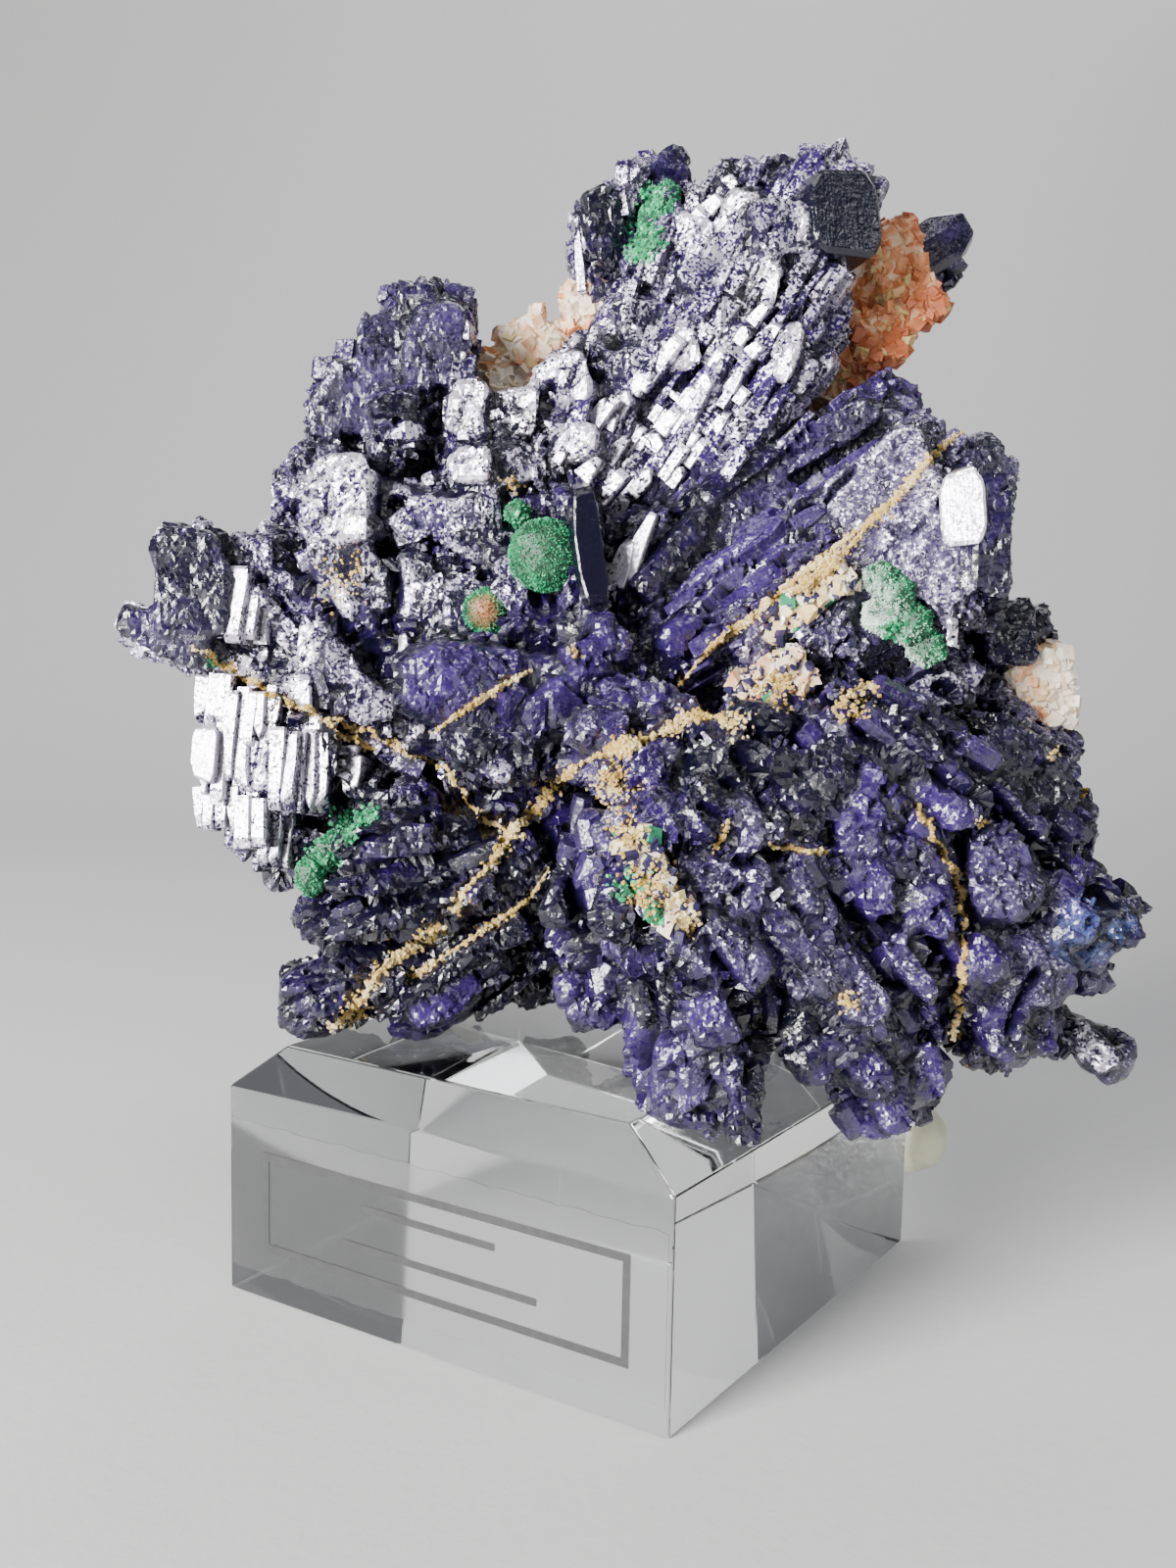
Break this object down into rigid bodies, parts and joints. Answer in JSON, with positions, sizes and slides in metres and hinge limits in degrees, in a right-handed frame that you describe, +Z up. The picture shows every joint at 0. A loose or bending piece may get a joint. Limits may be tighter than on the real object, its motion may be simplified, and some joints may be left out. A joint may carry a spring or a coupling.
{
  "type": "azurite mineral specimen on a clear display block",
  "caption": "Radiating cluster of dark blue azurite crystals with green malachite and pale matrix, standing on a clear square display block with sloped top edges.",
  "frame": {"origin": "centre of the display block's underside", "axes": "+Z up, +X to the right along the block's labelled front face, -Y out of that face towards a viewer"},
  "size_m": [0.0892, 0.0668, 0.113],
  "materials": {
    "clear_acrylic": "clear cast acrylic, polished faces",
    "azurite": "glassy to drusy, near black to violet blue",
    "matrix_orange": "rough crust of small rhombs, salmon orange with white",
    "matrix_pale": "rough cream crust with red and ochre stains",
    "malachite": "velvety emerald green tufts",
    "putty": "smooth, slightly translucent mounting putty"
  },
  "bodies": {
    "root": {"acrylic_base": "clear_acrylic", "azurite_cluster": "azurite", "matrix_slab": "matrix_orange", "matrix_lump_right": "matrix_pale", "matrix_chip_centre": "matrix_pale", "matrix_seam_upper": "matrix_pale", "matrix_crust_lower": "matrix_pale", "malachite_rosette": "malachite", "malachite_button": "malachite", "malachite_ring": "malachite", "malachite_right": "malachite", "malachite_left": "malachite", "malachite_top": "malachite", "mounting_putty": "putty", "putty_pad": "putty"}
  },
  "joints": []
}
